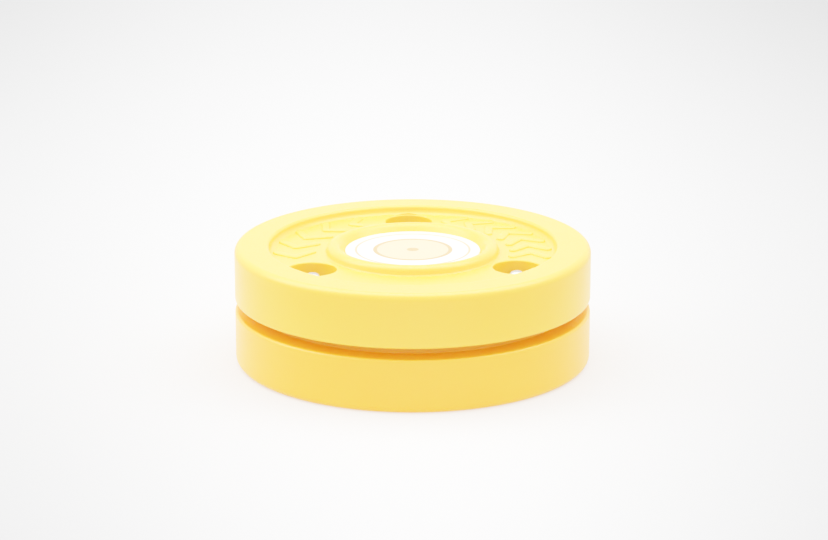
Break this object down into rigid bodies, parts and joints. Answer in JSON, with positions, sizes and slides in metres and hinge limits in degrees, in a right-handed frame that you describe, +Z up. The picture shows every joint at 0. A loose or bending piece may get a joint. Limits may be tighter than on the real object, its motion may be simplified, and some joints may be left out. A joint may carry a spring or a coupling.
{
  "type": "training hockey puck",
  "caption": "Off-ice training hockey puck: equal moulded discs stacked on loose pins, with an open groove round the middle and a round label recessed in each face.",
  "frame": {"origin": "centre of the bottom face, on the puck's axis", "axes": "+Z up along the puck's axis, from the lower disc to the upper disc; +Y from the axis towards the back pin; +X towards the right pin's side"},
  "size_m": [0.0762, 0.0762, 0.0254],
  "materials": {
    "disc_plastic": "satin",
    "label_vinyl": "satin",
    "plate_steel": "satin",
    "pin_steel": "polished",
    "retainer_steel": "satin"
  },
  "bodies": {
    "lower_half": {"lower_disc": "disc_plastic", "bottom_label": "label_vinyl"},
    "upper_half": {"upper_disc": "disc_plastic", "top_label": "label_vinyl"},
    "weight": {"weight_plate": "plate_steel"},
    "back_pin": {"pin_back": "pin_steel", "upper_retainer_back": "retainer_steel", "lower_retainer_back": "retainer_steel"},
    "left_pin": {"pin_left": "pin_steel", "upper_retainer_left": "retainer_steel", "lower_retainer_left": "retainer_steel"},
    "right_pin": {"pin_right": "pin_steel", "upper_retainer_right": "retainer_steel", "lower_retainer_right": "retainer_steel"}
  },
  "joints": [
    {"name": "upper_half_float", "type": "slide", "parent": "lower_half", "child": "upper_half", "axis": [0, 0, 1], "range_m": [0, 0.0008]},
    {"name": "weight_rattle", "type": "slide", "parent": "lower_half", "child": "weight", "axis": [0, 0, 1], "range_m": [0, 0.0008]},
    {"name": "back_pin_spin", "type": "hinge", "parent": "upper_half", "child": "back_pin", "pos_m": [0, 0.0248, 0.0127], "axis": [0, 0, 1], "continuous": true},
    {"name": "left_pin_spin", "type": "hinge", "parent": "upper_half", "child": "left_pin", "pos_m": [-0.02148, -0.0124, 0.0127], "axis": [0, 0, 1], "continuous": true},
    {"name": "right_pin_spin", "type": "hinge", "parent": "upper_half", "child": "right_pin", "pos_m": [0.02148, -0.0124, 0.0127], "axis": [0, 0, 1], "continuous": true}
  ]
}
